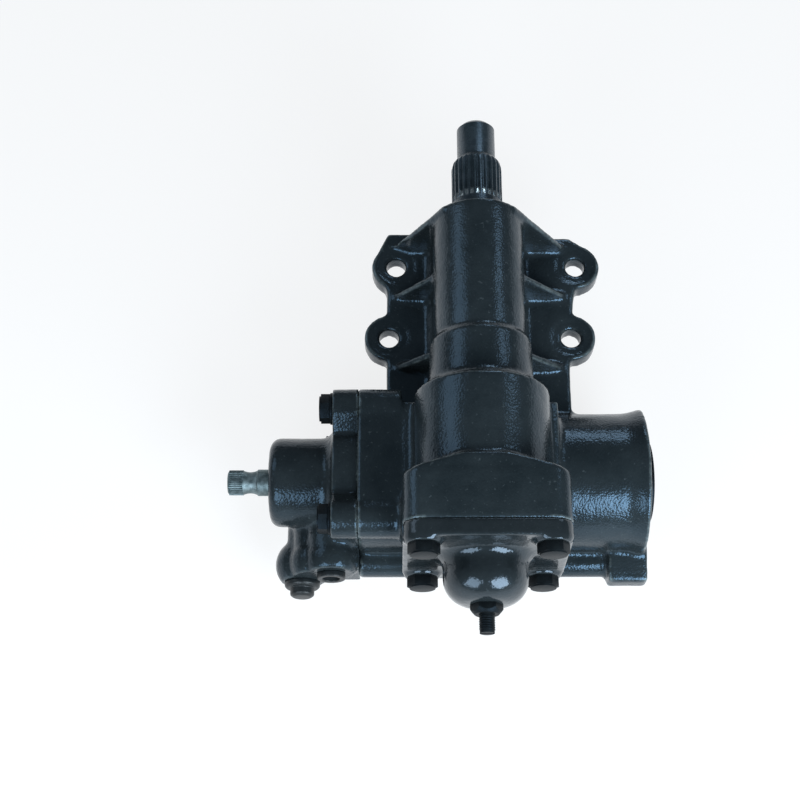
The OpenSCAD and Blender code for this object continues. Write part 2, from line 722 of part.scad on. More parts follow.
module adjuster_screw() {
  color(dark_steel) difference() {
    union() {
      on_sector_back(stub_end + 1) cylinder(d = adjuster_d, h = stub_end - dome_end + adjuster_reach + 1);
      on_sector_back(stub_end + slot_neck_d + slot_head_d - 1)
        cylinder(r = adjuster_head_r, h = slot_head_d - 1.2);
      on_sector_back(stub_end + slot_neck_d + 1) cylinder(d = adjuster_d - 0.4, h = slot_neck_d + 1);
    }
    translate([-adjuster_d, dome_end - adjuster_reach - 1, sector_z - 0.8]) cube([2 * adjuster_d, 4, 1.6]);
  }
}

module adjuster_lock_nut() {
  color(dark_steel) on_sector_back(dome_end) difference() {
    intersection() {
      cylinder(d = lock_nut_d, h = lock_nut_h, $fn = 6);
      translate([0, 0, -0.1]) cylinder(d1 = lock_nut_d + 5, d2 = lock_nut_d - 5.6, h = lock_nut_h + 0.1);
    }
    translate([0, 0, -1]) cylinder(r = adjuster_d / 2 + seat_gap, h = lock_nut_h + 2);
  }
}

module valve_housing_bolts() {
  color(dark_steel) at_valve_bolts(-valve_joint - valve_flange_t - washer_t)
    mirror([0, 0, 1]) hex_bolt(valve_flange_t + washer_t + bolt_grip);
}

module valve_bolt_washers() {
  color(steel) at_valve_bolts(-valve_joint - valve_flange_t - washer_t)
    ring(bolt_head_d / 2 + 0.6, bolt_r + 0.2, washer_t);
}

module valve_housing_o_ring() {
  color(seal_black) on_worm(-valve_joint + 4.5) o_ring(bore_r - 1.35, 1.2);
}

module cylinder_end_plug() {
  color(dark_steel) difference() {
    union() {
      on_worm(plug_in) cylinder(r = spigot_r, h = snap_x - plug_in);
      on_worm(snap_x - 1) cylinder(r = plug_boss_r, h = plug_out - snap_x + 1);
    }
    on_worm(plug_groove) difference() {
      cylinder(r = bore_r + 1, h = 3);
      cylinder(r = bore_r - 2.6, h = 3);
    }
    on_worm(plug_in - 1) cylinder(r = 24, h = 9);
  }
}

module end_plug_snap_ring() {
  color(steel) on_worm(snap_x + 0.1) difference() {
    ring(snap_r, bore_r - 3, snap_w);
    translate([bore_r - 6, -4, -1]) cube([12, 8, snap_w + 2]);
  }
}

module end_plug_o_ring() {
  color(seal_black) on_worm(plug_groove + 1.5) o_ring(bore_r - 1.35, 1.2);
}

module needle_cup(l) {
  difference() {
    cylinder(r = cup_r, h = l);
    translate([0, 0, 1]) cylinder(r = cup_bore_r, h = l - 2);
    translate([0, 0, -1]) cylinder(r = shaft_r + 0.6, h = l + 2);
  }
}

module needle_set(l) {
  round_set(needle_circle_r, 34) translate([0, 0, 1.2]) cylinder(r = needle_r, h = l - 2.4, $fn = 24);
}

module sector_outer_bearing_cup() {
  color(steel) on_sector(tube_end - 13 - needle_l) needle_cup(needle_l);
}

module sector_outer_needles() {
  color(steel) on_sector(tube_end - 13 - needle_l) needle_set(needle_l);
}

module sector_inner_bearing_cup() {
  color(steel) on_sector(-chamber_back - 12) needle_cup(needle_l);
}

module sector_inner_needles() {
  color(steel) on_sector(-chamber_back - 12) needle_set(needle_l);
}

module cover_bearing_cup() {
  color(steel) on_sector_back(-cover_joint + 18) needle_cup(needle_l);
}

module cover_needles() {
  color(steel) on_sector_back(-cover_joint + 18) needle_set(needle_l);
}

module sector_oil_seal() {
  color(seal_black) on_sector(tube_end - 10.8) ring(seal_seat_r - seat_gap, shaft_r + run_gap, 7);
}

module sector_dust_seal() {
  color(seal_black) on_sector(tube_end - 3.6) {
    ring(seal_seat_r - seat_gap, shaft_r + run_gap, 3.4);
    ring(shaft_r + 2.6, shaft_r + run_gap, 5.6);
  }
}

module input_oil_seal() {
  color(seal_black) on_worm(-valve_end + 3) ring(input_seal_r - seat_gap, input_r + run_gap, 6.4);
}

module input_dust_seal() {
  color(seal_black) on_worm(-valve_end + 0.2) ring(input_seal_r - seat_gap, input_r + run_gap, 2.7);
}

module input_bearing_cup() {
  color(steel) on_worm(-valve_end + 9.6) difference() {
    cylinder(r = input_cup_r, h = 10.5);
    translate([0, 0, 1]) cylinder(r = input_cup_bore_r, h = 8.5);
    translate([0, 0, -1]) cylinder(r = input_r + 0.5, h = 13);
  }
}

module input_needles() {
  color(steel) on_worm(-valve_end + 10.8)
    round_set(input_circle_r, 22) cylinder(r = input_needle_r, h = 8.1, $fn = 24);
}

module race_groove() {
  translate([0, 0, race_w / 2]) o_ring(race_circle_r, race_ball_r + ball_gap);
}

module worm_bearing_outer_race() {
  color(steel) on_worm(race_x) difference() {
    ring(race_out_r - seat_gap, race_circle_r + 2, race_w);
    race_groove();
  }
}

module worm_bearing_inner_race() {
  color(steel) on_worm(race_x) difference() {
    ring(race_circle_r - 2, race_in_r + seat_gap, race_w);
    race_groove();
  }
}

module worm_bearing_balls() {
  color(steel) on_worm(race_x + race_w / 2) round_set(race_circle_r, 14) sphere(r = race_ball_r);
}

module bearing_adjusting_plug() {
  color(dark_steel) on_worm(race_x + race_w) difference() {
    ring(race_out_r - seat_gap, race_circle_r - 1.5, spigot_l + 2.5);
    for (a = [45 : 90 : 315]) rotate(a) translate([race_circle_r + 1, -3, spigot_l - 1]) cube([10, 6, 5]);
  }
}

module pressure_port_plug() {
  color(seal_black) translate([pressure_port_x, port_y, pressure_port_z]) rotate([90, 0, 0]) {
    translate([0, 0, -plug_stem_l]) cylinder(r = port_bore_r - seat_gap, h = plug_stem_l + 1);
    cylinder(r = 12, h = 3);
    translate([0, 0, 3]) cylinder(r1 = 12, r2 = 10.5, h = 1.5);
    translate([0, 0, 4]) cylinder(r = 8.2, h = 5);
    translate([0, 0, 9]) cylinder(r1 = 8.2, r2 = 6, h = 1.6);
  }
}

module return_port_plug() {
  color(seal_black) translate([return_port_x, port_y, return_port_z]) rotate([90, 0, 0]) difference() {
    union() {
      translate([0, 0, 1 - plug_stem_l]) cylinder(r = port_bore_r - seat_gap, h = plug_stem_l);
      cylinder(r = 9.5, h = 4);
    }
    translate([0, 0, -8]) cylinder(r = 5.8, h = 14);
  }
}

module gallery_plug() {
  color(dark_steel) translate([gallery_block_end - 9.5, gallery_y, gallery_z]) rotate([0, 90, 0])
    difference() {
      cylinder(r = gallery_plug_r, h = 9);
      translate([0, 0, 4]) cylinder(d = 6.9, h = 6, $fn = 6);
    }
}

module sector_shaft() {
  gear_back = worm_y + face_width / 2;
  gear_front = worm_y - face_width / 2;
  spline_end = spline_start + spline_l;
  color(steel) difference() {
    union() {
      on_sector(stub_end) cylinder(r = shaft_r, h = spline_start - stub_end);
      on_sector_back(gear_back) linear_extrude(face_width) sector_gear_outline();
      on_sector(gear_front - 3) cylinder(r = shaft_r + 4, h = face_width + 8);
      intersection() {
        on_sector(spline_start - 0.5)
          splined_bar(shaft_r - 0.15, spline_depth, spline_teeth, spline_l + 0.5);
        on_sector(spline_start - 1) rotate_extrude() polygon([
          [0, 0], [shaft_r, 0], [shaft_r, spline_l + 1 - spline_taper],
          [shaft_r - 1.1, spline_l + 1 - spline_taper * 0.45],
          [thread_d / 2 + 0.6, spline_l + 1], [0, spline_l + 1]
        ]);
      }
      on_sector(spline_start - 0.5)
        cylinder(r1 = shaft_r - 0.1, r2 = shaft_r - spline_depth - 0.3, h = spline_runout + 0.5);
      on_sector(spline_end - 0.5) cylinder(d = thread_d, h = thread_l - 2.5);
      on_sector(spline_end + thread_l - 3) cylinder(d1 = thread_d, d2 = thread_d - 6, h = 3);
    }
    on_sector(stub_end - 1) translate([-adjuster_d / 2 - 0.3, -shaft_r - 1, 0])
      cube([adjuster_d + 0.6, 2 * shaft_r + 2, slot_neck_d + 2]);
    on_sector(stub_end + slot_neck_d) translate([-adjuster_head_r - 0.1, -shaft_r - 1, 0])
      cube([2 * adjuster_head_r + 0.2, 2 * shaft_r + 2, slot_head_d]);
  }
}

module adjuster_thrust_washer() {
  color(steel) on_sector(stub_end + slot_neck_d + slot_head_d - 0.95) cylinder(r = adjuster_head_r, h = 0.9);
}

module rack_space() {
  half = rack_pitch / 4;
  low = rack_root - rack_line;
  high = rack_tip - rack_line;
  polygon([
    [-half - low * tan(pressure_angle), low], [-half - high * tan(pressure_angle), high + 0.01],
    [half + high * tan(pressure_angle), high + 0.01], [half + low * tan(pressure_angle), low]
  ]);
}

module rack_teeth_cut() {
  translate([-rack_half_l, worm_y - bore_r, worm_z + rack_tip]) cube([2 * rack_half_l, 2 * bore_r, bore_r]);
  for (i = [0 : sector_teeth - 1]) {
    translate([(i - (sector_teeth - 1) / 2) * rack_pitch, worm_y + bore_r, worm_z + rack_line])
      rotate([90, 0, 0]) linear_extrude(2 * bore_r) rack_space();
  }
}

// Places its children at the two ends of the ball circuit, below the worm axis
module at_guide_ends(z) {
  translate([circuit_start, worm_y + ball_circle_r, worm_z - z]) children();
  translate([circuit_end, worm_y - ball_circle_r, worm_z - z]) children();
}

module along_guide() {
  translate([circuit_start, worm_y + ball_circle_r, worm_z - guide_drop]) rotate(guide_turn) children();
}

module rack_piston() {
  crest = ball_circle_r + 0.9;
  land = [
    [ridge_half(nut_bore_r - 1), nut_bore_r + 0.6], [ridge_half(crest), crest],
    [-ridge_half(crest), crest], [-ridge_half(nut_bore_r - 1), nut_bore_r + 0.6]
  ];
  color(dark_steel) union() {
    difference() {
      on_worm(piston_left) cylinder(r = piston_r, h = piston_l);
      on_worm(piston_left - 1) cylinder(r = nut_bore_r, h = nut_depth - piston_left + 1);
      rack_teeth_cut();
      on_worm(ring_groove_x) ring(bore_r + 1, ring_groove_r, ring_groove_w);
      along_guide() rotate([0, 90, 0]) cylinder(r = guide_r + 0.1, h = guide_len);
      along_guide() translate([0, -guide_r - 0.1, -20]) cube([guide_len, 2 * guide_r + 0.2, 20]);
      at_guide_ends(guide_drop + 20) cylinder(r = guide_r + 0.1, h = guide_drop + 5.5);
      translate([circuit_x - 26, worm_y - 20, worm_z - clamp_drop - 20]) cube([52, 40, 20]);
      at_clamp_screws(clamp_drop - 9) mirror([0, 0, 1]) cylinder(r = 2.52, h = 12);
    }
    helix_ridge(circuit_start - lead / 2, 3, land);
  }
}

module at_clamp_screws(z) {
  for (s = [-1, 1]) translate([circuit_x + s * 16, worm_y + s * 8, worm_z - z]) children();
}

module piston_seal_ring() {
  color(seal_tan) on_worm(ring_groove_x + 0.05) ring(piston_r + 0.02, ring_split_r, ring_groove_w - 0.1);
}

module piston_expander_ring() {
  color(seal_black) on_worm(ring_groove_x + 0.1)
    ring(ring_split_r - seat_gap, ring_groove_r + seat_gap, ring_groove_w - 0.2);
}

module recirculating_balls() {
  guide_balls = floor(guide_len / (ball_d + 0.9));
  color(steel) {
    for (i = [0 : floor(loaded_turns * balls_per_turn)]) {
      a = i * 360 / balls_per_turn;
      translate([circuit_start + lead * a / 360, worm_y, worm_z]) rotate([a, 0, 0])
        translate([0, ball_circle_r, 0]) sphere(r = ball_r);
    }
    along_guide() for (i = [0 : guide_balls - 1])
      translate([(i + 0.5) * guide_len / guide_balls, 0, 0]) sphere(r = ball_r);
    at_guide_ends(guide_drop - ball_d - 0.5) sphere(r = ball_r);
  }
}

module guide_path(r, foot, h) {
  along_guide() rotate([0, 90, 0]) cylinder(r = r - 0.05, h = guide_len);
  at_guide_ends(guide_drop + foot) cylinder(r = r, h = h + foot);
}

module ball_return_guide() {
  leg = guide_drop - nut_bore_r + 1.4;
  color(steel) difference() {
    guide_path(guide_r, guide_r - 0.05, leg);
    guide_path(guide_bore_r, guide_bore_r, leg + 2);
  }
}

module guide_clamp() {
  color(dark_steel) difference() {
    translate([circuit_x - 22, worm_y - 13, worm_z - clamp_drop - clamp_t]) cube([44, 26, clamp_t]);
    at_clamp_screws(clamp_drop + clamp_t + 1) cylinder(r = 2.7, h = clamp_t + 2);
  }
}

module guide_clamp_screws() {
  color(steel) at_clamp_screws(clamp_drop + clamp_t) mirror([0, 0, 1]) {
    translate([0, 0, -11]) cylinder(r = 2.5, h = 11.5);
    difference() {
      cylinder(r = 4, h = 1.7);
      translate([-5, -0.5, 0.9]) cube([10, 1, 1]);
    }
  }
}

module worm_shaft() {
  head_x = race_x - 6.5;
  crest = ball_circle_r - 0.9;
  section = [
    [-ridge_half(worm_core_r + 0.7), worm_core_r - 0.5], [-ridge_half(crest), crest],
    [ridge_half(crest), crest], [ridge_half(worm_core_r + 0.7), worm_core_r - 0.5]
  ];
  thread_turns = floor((worm_tip - 4 - (circuit_start - 2.5 * lead)) / lead);
  color(steel) difference() {
    union() {
      on_worm(head_x) cylinder(r = head_r, h = 6.5);
      on_worm(race_x - 1) cylinder(r = race_in_r, h = race_w + 2);
      on_worm(race_x + race_w) cylinder(r = race_in_r + 3, h = 3);
      on_worm(race_x + race_w + 2) cylinder(r = worm_core_r, h = worm_tip - race_x - race_w - 2);
      helix_ridge(circuit_start - 2.5 * lead, thread_turns, section);
    }
    on_worm(head_x - 1) cylinder(r = bar_head_r + seat_gap, h = 45);
    translate([head_x - 1, worm_y - 5.6, worm_z - 9.5]) cube([9, 11.2, 19]);
    translate([race_x + 29, worm_y, worm_z - 20]) cylinder(r = bar_pin_r + seat_gap, h = 40);
  }
}

module valve_sleeve() {
  sleeve_x = valve_left + 0.5;
  color(steel) difference() {
    on_worm(sleeve_x) cylinder(r = sleeve_r, h = race_x - 0.3 - sleeve_x);
    on_worm(sleeve_x - 1) cylinder(r = rotor_r + run_gap, h = race_x - sleeve_x + 2);
    on_worm(race_x - 6.6) cylinder(r = head_r + seat_gap, h = 10);
    for (i = [0 : 2]) on_worm(sleeve_x + 2 + i * 8) ring(sleeve_r + 1, sleeve_r - 2, 2.2);
    for (i = [0 : 1]) on_worm(sleeve_x + 6 + i * 8) ring(sleeve_r + 1, sleeve_r - 3, 2.4);
    for (i = [0 : 1]) on_worm(sleeve_x + 7.2 + i * 8) for (a = [0 : 60 : 300])
      rotate(a) rotate([0, 90, 0]) cylinder(r = 1, h = 30);
  }
}

module valve_seal_rings() {
  color(seal_tan) for (i = [0 : 2]) on_worm(valve_left + 2.6 + i * 8)
    ring(valve_bore_r - 0.03, sleeve_r - 1.9, 2);
}

module torsion_bar() {
  bar_left = valve_left - 3;
  bar_right = race_x + 35;
  color(steel) difference() {
    union() {
      on_worm(bar_left) cylinder(r = bar_head_r, h = 11);
      on_worm(bar_left + 1) cylinder(r = bar_r, h = bar_right - bar_left - 2);
      on_worm(bar_right - 12) cylinder(r = bar_head_r, h = 12);
    }
    translate([valve_left + 4, worm_y, worm_z - 20]) cylinder(r = bar_pin_r + 0.4, h = 40);
    translate([race_x + 29, worm_y, worm_z - 20]) cylinder(r = bar_pin_r + seat_gap, h = 40);
  }
}

module torsion_bar_worm_pin() {
  reach = worm_core_r - 0.6;
  color(dark_steel) translate([race_x + 29, worm_y, worm_z - reach]) cylinder(r = bar_pin_r, h = 2 * reach);
}

module input_shaft() {
  neck_x = serration_l - input_tip;
  neck_depth = (serration_d - neck_d) / 2 - 0.3;
  neck_curve_r = (pow(neck_l / 2, 2) + pow(neck_depth, 2)) / (2 * neck_depth);
  tang_x = race_x - 6.8;
  color(steel) difference() {
    union() {
      on_worm(-input_tip) cylinder(d1 = serration_d - 3, d2 = serration_d - 1.2, h = 1);
      on_worm(0.8 - input_tip) splined_bar(serration_d / 2, 0.7, serration_teeth, serration_l - 0.8);
      on_worm(neck_x - 0.3) rotate_extrude() difference() {
        square([neck_d / 2 + neck_depth, neck_l + 0.6]);
        translate([neck_d / 2 + neck_curve_r, neck_l / 2 + 0.3]) circle(r = neck_curve_r);
      }
      on_worm(neck_x + neck_l) cylinder(r1 = input_r - 0.8, r2 = input_r, h = 0.8);
      on_worm(neck_x + neck_l + 0.8) cylinder(r = input_r, h = valve_left - neck_x - neck_l);
      on_worm(valve_left + 0.6) cylinder(r = rotor_r, h = tang_x - valve_left - 0.6);
      intersection() {
        on_worm(tang_x - 1) cylinder(r = 8.6, h = 8);
        translate([tang_x - 1, worm_y - 4.9, worm_z - 10]) cube([8, 9.8, 20]);
      }
    }
    on_worm(valve_left - 3.5) cylinder(r = bar_head_r + 0.1, h = 60);
    translate([valve_left + 4, worm_y, worm_z - 20]) cylinder(r = bar_pin_r + seat_gap, h = 40);
    for (a = [0 : 60 : 300]) on_worm(valve_left + 5.8) rotate(a + 30)
      translate([rotor_r - 1.2, -1.6, 0]) cube([3, 3.2, 9.5]);
  }
}

module torsion_bar_input_pin() {
  reach = rotor_r - 0.3;
  color(dark_steel) translate([valve_left + 4, worm_y, worm_z - reach])
    cylinder(r = bar_pin_r, h = 2 * reach);
}

gear_housing();
valve_housing();
side_cover();
side_cover_o_ring();
side_cover_bolts();
adjuster_screw();
adjuster_lock_nut();
valve_housing_bolts();
valve_bolt_washers();
valve_housing_o_ring();
cylinder_end_plug();
end_plug_snap_ring();
end_plug_o_ring();
sector_outer_bearing_cup();
sector_outer_needles();
sector_inner_bearing_cup();
sector_inner_needles();
cover_bearing_cup();
cover_needles();
sector_oil_seal();
sector_dust_seal();
input_oil_seal();
input_dust_seal();
input_bearing_cup();
input_needles();
worm_bearing_outer_race();
worm_bearing_balls();
bearing_adjusting_plug();
pressure_port_plug();
return_port_plug();
gallery_plug();
sector_shaft();
adjuster_thrust_washer();
rack_piston();
piston_seal_ring();
piston_expander_ring();
recirculating_balls();
ball_return_guide();
guide_clamp();
guide_clamp_screws();
worm_shaft();
worm_bearing_inner_race();
valve_sleeve();
valve_seal_rings();
torsion_bar();
torsion_bar_worm_pin();
input_shaft();
torsion_bar_input_pin();
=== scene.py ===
import math
import bmesh
import bpy
import numpy as np
from mathutils import Matrix, Vector, noise


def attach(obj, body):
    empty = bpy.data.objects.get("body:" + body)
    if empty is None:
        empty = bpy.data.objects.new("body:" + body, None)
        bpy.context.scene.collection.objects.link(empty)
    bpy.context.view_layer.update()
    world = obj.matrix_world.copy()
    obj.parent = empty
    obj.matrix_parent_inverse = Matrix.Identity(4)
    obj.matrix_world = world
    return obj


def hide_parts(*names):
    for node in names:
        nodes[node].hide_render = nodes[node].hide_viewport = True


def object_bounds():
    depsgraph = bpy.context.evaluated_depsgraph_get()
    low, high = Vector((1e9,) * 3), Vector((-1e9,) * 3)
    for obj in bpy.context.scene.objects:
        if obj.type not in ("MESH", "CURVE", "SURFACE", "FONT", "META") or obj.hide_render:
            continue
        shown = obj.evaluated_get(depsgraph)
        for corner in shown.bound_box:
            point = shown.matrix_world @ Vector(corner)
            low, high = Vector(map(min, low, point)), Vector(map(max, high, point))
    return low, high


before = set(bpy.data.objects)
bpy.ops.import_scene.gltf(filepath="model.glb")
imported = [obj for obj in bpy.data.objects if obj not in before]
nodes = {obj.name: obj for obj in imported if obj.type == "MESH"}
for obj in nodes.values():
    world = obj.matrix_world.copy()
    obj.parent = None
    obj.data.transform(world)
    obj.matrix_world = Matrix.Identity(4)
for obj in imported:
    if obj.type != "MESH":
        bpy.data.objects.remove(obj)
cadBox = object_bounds()
print("frame loaded,", len(nodes), "nodes")

# axes of the box, in metres: the sector shaft runs along y, the worm along x
sectorAxis = {"x": 0.0, "z": 0.0525}
wormAxis = {"y": -0.127, "z": -0.0055}


def linearColour(code):
    parts = [int(code[i:i + 2], 16) / 255 for i in (1, 3, 5)]
    return [c / 12.92 if c <= 0.04045 else ((c + 0.055) / 1.055) ** 2.4 for c in parts] + [1.0]


# adds a node; a link's source is an output socket, or a node for its first output
def addNode(tree, kind, settings=None, links=None):
    node = tree.nodes.new(kind)
    for key, value in (settings or {}).items():
        if isinstance(key, int) or key in node.inputs:
            node.inputs[key].default_value = value
        else:
            setattr(node, key, value)
    for key, source in (links or {}).items():
        tree.links.new(getattr(source, "outputs", [source])[0], node.inputs[key])
    return node


def newMaterial(name):
    mat = bpy.data.materials.new(name)
    mat.use_nodes = True
    mat.node_tree.nodes.clear()
    return mat, mat.node_tree, addNode(mat.node_tree, "ShaderNodeTexCoord").outputs["Object"]


# scale of a pattern whose grains are about this many millimetres apart
def grainScale(millimetres):
    return 1000.0 / millimetres


# painted cool tint on the enamel's reflections: it stands in for the blue of the daylight and is no colour of
# the enamel itself
paintedCoolReflectionTint = linearColour("#b2dcff")


# black enamel brushed over sand-cast iron: the sand grain breaks its highlights into sparkles, made cool by
# the painted reflection tint, dust in the pits gives a few paler specks, and the convex edges are painted
# paler, partly as paint rubbed thin and partly as a painted highlight
ironPattern = {"cloud": 38, "pits": 2.4, "wear": 5, "smear": 9, "lumps": 6.5}  # millimetres


def enamelOnCastIron(name, look):
    mat, tree, place = newMaterial(name)
    cloud = addNode(tree, "ShaderNodeTexNoise", {
        "Scale": grainScale(ironPattern["cloud"]), "Detail": 8.0, "Roughness": 0.72}, {"Vector": place})
    tone = addNode(tree, "ShaderNodeMapRange", {"From Min": 0.32, "From Max": 0.72}, {"Value": cloud})
    body = addNode(tree, "ShaderNodeMixRGB", {
        "Color1": linearColour(look["dark"]), "Color2": linearColour(look["pale"])}, {"Fac": tone})
    pits = addNode(tree, "ShaderNodeTexNoise", {
        "Scale": grainScale(ironPattern["pits"]), "Detail": 3.0}, {"Vector": place})
    specks = addNode(tree, "ShaderNodeMapRange", {"From Min": 0.65, "From Max": 0.8}, {"Value": pits})
    dusty = addNode(tree, "ShaderNodeMixRGB", {
        "Color2": linearColour(look["dust"])}, {"Fac": specks, "Color1": body})
    # painted highlight mixed with rubbed-thin paint: the most convex edges, found by pointiness, get the paler
    # edge colour
    bend = addNode(tree, "ShaderNodeNewGeometry").outputs["Pointiness"]
    edge = addNode(tree, "ShaderNodeMapRange", {
        "From Min": look["bend"][0], "From Max": look["bend"][1]}, {"Value": bend})
    wear = addNode(tree, "ShaderNodeTexNoise", {
        "Scale": grainScale(ironPattern["wear"]), "Detail": 5.0}, {"Vector": place})
    patchy = addNode(tree, "ShaderNodeMapRange", {"From Min": 0.3, "From Max": 0.6}, {"Value": wear})
    edgeWearAndHighlight = addNode(tree, "ShaderNodeMath", {"operation": "MULTIPLY"}, {0: edge, 1: patchy})
    withEdgeWearAndHighlight = addNode(tree, "ShaderNodeMixRGB", {
        "Color2": linearColour(look["edge"])}, {"Fac": edgeWearAndHighlight, "Color1": dusty})
    smear = addNode(tree, "ShaderNodeTexNoise", {
        "Scale": grainScale(ironPattern["smear"]), "Detail": 5.0}, {"Vector": place})
    rough = addNode(tree, "ShaderNodeMapRange", {
        "To Min": look["gloss"][0], "To Max": look["gloss"][1]}, {"Value": smear})
    lumps = addNode(tree, "ShaderNodeTexNoise", {
        "Scale": grainScale(ironPattern["lumps"]), "Detail": 2.0}, {"Vector": place})
    coarse = addNode(tree, "ShaderNodeBump", {"Strength": look["lumps"], "Distance": 0.001}, {"Height": lumps})
    # moulding sand is nearer 0.4 mm, and is drawn coarser so that it shows
    sand = addNode(tree, "ShaderNodeTexVoronoi", {"Scale": grainScale(look["grain"])}, {"Vector": place})
    fine = addNode(tree, "ShaderNodeBump", {
        "invert": True, "Strength": look["sand"], "Distance": 0.0004}, {"Height": sand, "Normal": coarse})
    # the Specular Tint carries the painted cool reflection tint
    shader = addNode(tree, "ShaderNodeBsdfPrincipled", {
        "IOR": 1.5, "Metallic": 0.0, "Specular IOR Level": look["shine"], "Specular Tint": paintedCoolReflectionTint,
        "Coat Weight": look["coat"], "Coat Roughness": 0.12},
        {"Base Color": withEdgeWearAndHighlight, "Roughness": rough, "Normal": fine, "Coat Normal": fine})
    addNode(tree, "ShaderNodeOutputMaterial", None, {"Surface": shader})
    return mat


# black enamel sprayed over machined steel: smooth, with an orange-peel ripple
steelPattern = {"cloud": 6, "peel": 1.2, "wear": 2.5}  # millimetres


def enamelOnSteel(name, look):
    mat, tree, place = newMaterial(name)
    cloud = addNode(tree, "ShaderNodeTexNoise", {
        "Scale": grainScale(steelPattern["cloud"]), "Detail": 5.0}, {"Vector": place})
    tone = addNode(tree, "ShaderNodeMapRange", {"From Min": 0.3, "From Max": 0.75}, {"Value": cloud})
    paint = addNode(tree, "ShaderNodeMixRGB", {
        "Color1": linearColour(look["dark"]), "Color2": linearColour(look["pale"])}, {"Fac": tone})
    rough = addNode(tree, "ShaderNodeMapRange", {
        "To Min": look["gloss"][0], "To Max": look["gloss"][1]}, {"Value": cloud})
    peel = addNode(tree, "ShaderNodeTexNoise", {
        "Scale": grainScale(steelPattern["peel"]), "Detail": 2.0}, {"Vector": place})
    bump = addNode(tree, "ShaderNodeBump", {"Strength": 0.25, "Distance": 0.0004}, {"Height": peel})
    # the Specular Tint carries the painted cool reflection tint
    shader = addNode(tree, "ShaderNodeBsdfPrincipled", {
        "IOR": 1.5, "Metallic": 0.0, "Specular IOR Level": look["shine"], "Specular Tint": paintedCoolReflectionTint},
        {"Base Color": paint, "Roughness": rough, "Normal": bump})
    addNode(tree, "ShaderNodeOutputMaterial", None, {"Surface": shader})
    return mat


# the same enamel on the splined shaft, where the tool run-outs between the teeth stayed bright
runOutFade = {"start": 0.0008, "end": 0.0012, "tooth": 0.0004}  # metres


def enamelOnSpline(name, look):
    mat, tree, place = newMaterial(name)
    cloud = addNode(tree, "ShaderNodeTexNoise", {
        "Scale": grainScale(steelPattern["cloud"]), "Detail": 5.0}, {"Vector": place})
    tone = addNode(tree, "ShaderNodeMapRange", {"From Min": 0.3, "From Max": 0.75}, {"Value": cloud})
    paint = addNode(tree, "ShaderNodeMixRGB", {
        "Color1": linearColour(look["dark"]), "Color2": linearColour(look["pale"])}, {"Fac": tone})
    across = addNode(tree, "ShaderNodeMapping", {
        "Location": (0, 0, -sectorAxis["z"]), "Scale": (1, 0, 1)}, {"Vector": place})
    reach = addNode(tree, "ShaderNodeVectorMath", {"operation": "LENGTH"}, {"Vector": across}).outputs["Value"]
    along = addNode(tree, "ShaderNodeSeparateXYZ", None, {"Vector": place}).outputs["Y"]
    first, last = look["bare"]
    start = addNode(tree, "ShaderNodeMapRange", {
        "From Min": first, "From Max": first + runOutFade["start"]}, {"Value": along})
    end = addNode(tree, "ShaderNodeMapRange", {
        "From Min": last, "From Max": last - runOutFade["end"]}, {"Value": along})
    root = addNode(tree, "ShaderNodeMapRange", {
        "From Min": look["tooth"], "From Max": look["tooth"] - runOutFade["tooth"]}, {"Value": reach})
    wear = addNode(tree, "ShaderNodeTexNoise", {
        "Scale": grainScale(steelPattern["wear"]), "Detail": 3.0}, {"Vector": place})
    patchy = addNode(tree, "ShaderNodeMapRange", {"From Min": 0.25, "From Max": 0.5}, {"Value": wear})
    zone = addNode(tree, "ShaderNodeMath", {"operation": "MULTIPLY"}, {0: start, 1: end})
    runOut = addNode(tree, "ShaderNodeMath", {"operation": "MULTIPLY"}, {0: zone, 1: root})
    bare = addNode(tree, "ShaderNodeMath", {"operation": "MULTIPLY"}, {0: runOut, 1: patchy})
    mixed = addNode(tree, "ShaderNodeMixRGB", {
        "Color2": linearColour(look["steel"])}, {"Fac": bare, "Color1": paint})
    rough = addNode(tree, "ShaderNodeMapRange", {
        "To Min": look["gloss"][0], "To Max": look["gloss"][1]}, {"Value": cloud})
    peel = addNode(tree, "ShaderNodeTexNoise", {
        "Scale": grainScale(steelPattern["peel"]), "Detail": 2.0}, {"Vector": place})
    bump = addNode(tree, "ShaderNodeBump", {"Strength": 0.25, "Distance": 0.0004}, {"Height": peel})
    # the Specular Tint carries the painted cool reflection tint
    shader = addNode(tree, "ShaderNodeBsdfPrincipled", {
        "IOR": 1.5, "Specular IOR Level": look["shine"], "Specular Tint": paintedCoolReflectionTint},
        {"Base Color": mixed, "Metallic": bare, "Roughness": rough, "Normal": bump})
    addNode(tree, "ShaderNodeOutputMaterial", None, {"Surface": shader})
    return mat


# turned or ground steel: fine tool marks around the axis and a thin film of oil and tarnish; the marks are
# nearer 0.2 mm apart, and are drawn coarser so that they show
toolMarks = 0.8  # millimetres


